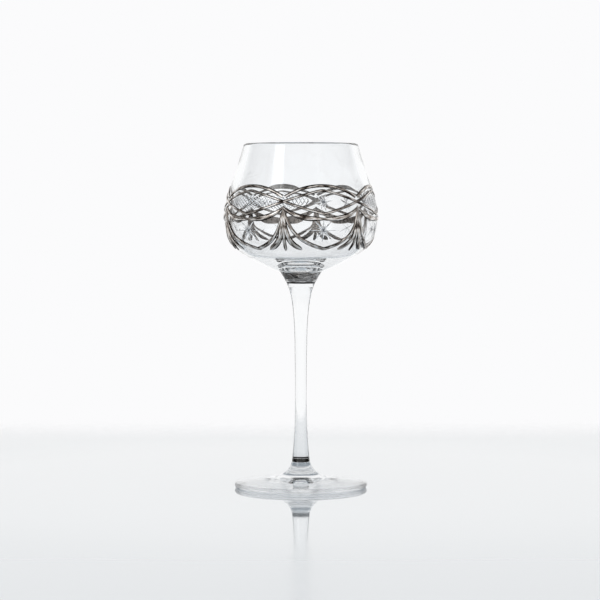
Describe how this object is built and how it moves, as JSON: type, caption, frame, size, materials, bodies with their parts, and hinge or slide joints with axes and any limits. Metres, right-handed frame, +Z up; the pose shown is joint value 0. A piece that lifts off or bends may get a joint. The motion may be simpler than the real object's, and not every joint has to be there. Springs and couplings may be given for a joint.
{
  "type": "port glass",
  "caption": "Stemmed port glass with a rounded cut bowl narrowing to the rim, a slender drawn stem, a round foot and a metal-lined ornament of waves, arches, swags and tassels.",
  "frame": {"origin": "centre of the foot's underside, on the surface that the glass stands on", "axes": "+Z up along the glass's axis; the middle of a star-cut cell of the ornament lies 17 degrees from -Y towards +X"},
  "size_m": [0.0722, 0.0722, 0.1599],
  "materials": {
    "clear_glass": "polished clear crystal, cut stars and fine crossed cuts on the bowl",
    "metal_lining": "burnished warm grey metal lining, softly mirrored, darker at its edges"
  },
  "bodies": {
    "root": {"bowl": "clear_glass", "stem": "clear_glass", "foot": "clear_glass", "line_waves": "metal_lining", "line_tassel_1": "metal_lining", "line_tassel_2": "metal_lining", "line_tassel_3": "metal_lining", "line_tassel_4": "metal_lining", "line_tassel_5": "metal_lining", "line_tassel_6": "metal_lining", "line_swag_1": "metal_lining", "line_swag_2": "metal_lining", "line_swag_3": "metal_lining", "line_swag_4": "metal_lining", "line_swag_5": "metal_lining", "line_swag_6": "metal_lining", "line_scallop_1": "metal_lining", "line_scallop_2": "metal_lining", "line_scallop_3": "metal_lining", "line_scallop_4": "metal_lining", "line_scallop_5": "metal_lining", "line_scallop_6": "metal_lining", "line_arch_1": "metal_lining", "line_arch_2": "metal_lining", "line_arch_3": "metal_lining", "line_arch_4": "metal_lining", "line_arch_5": "metal_lining", "line_arch_6": "metal_lining"}
  },
  "joints": []
}
